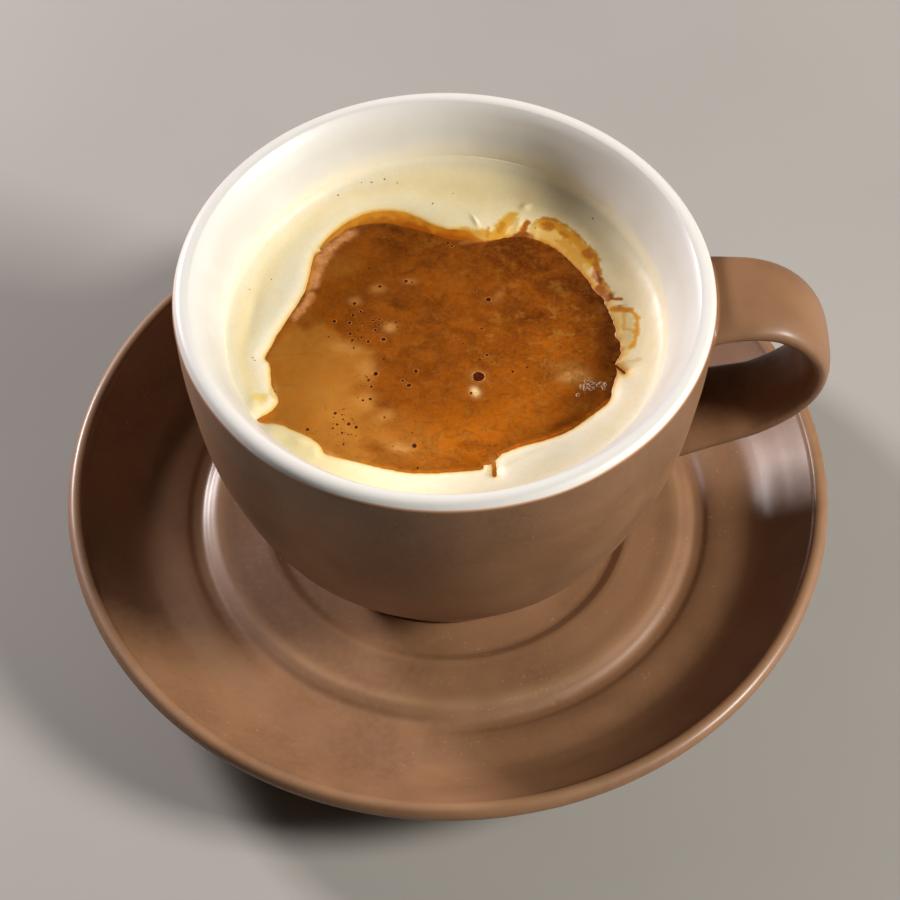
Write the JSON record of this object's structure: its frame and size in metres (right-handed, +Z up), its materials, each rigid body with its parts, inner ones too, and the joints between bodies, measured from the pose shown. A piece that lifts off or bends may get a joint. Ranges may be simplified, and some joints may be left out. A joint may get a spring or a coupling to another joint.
{
  "type": "affogato in a cup with its saucer",
  "caption": "Espresso poured over vanilla ice cream in a thick-walled cup with a strap handle, standing on its ringed saucer.",
  "frame": {"origin": "centre of the saucer's foot ring on the surface it stands on", "axes": "+Z up, +X towards the cup's handle, -Y the side seen first"},
  "size_m": [0.1462, 0.1462, 0.074],
  "materials": {
    "saucer_glaze": "warm brown satin glaze",
    "cup_glaze": "warm brown satin glaze outside, glossy white glaze inside",
    "ice_cream": "melting vanilla ice cream, wet and smooth, pale ivory yellow",
    "espresso": "espresso with a mottled hazel crema and fine bubbles"
  },
  "bodies": {
    "root": {"saucer": "saucer_glaze", "cup": "cup_glaze", "ice_cream": "ice_cream", "espresso": "espresso"}
  },
  "joints": []
}
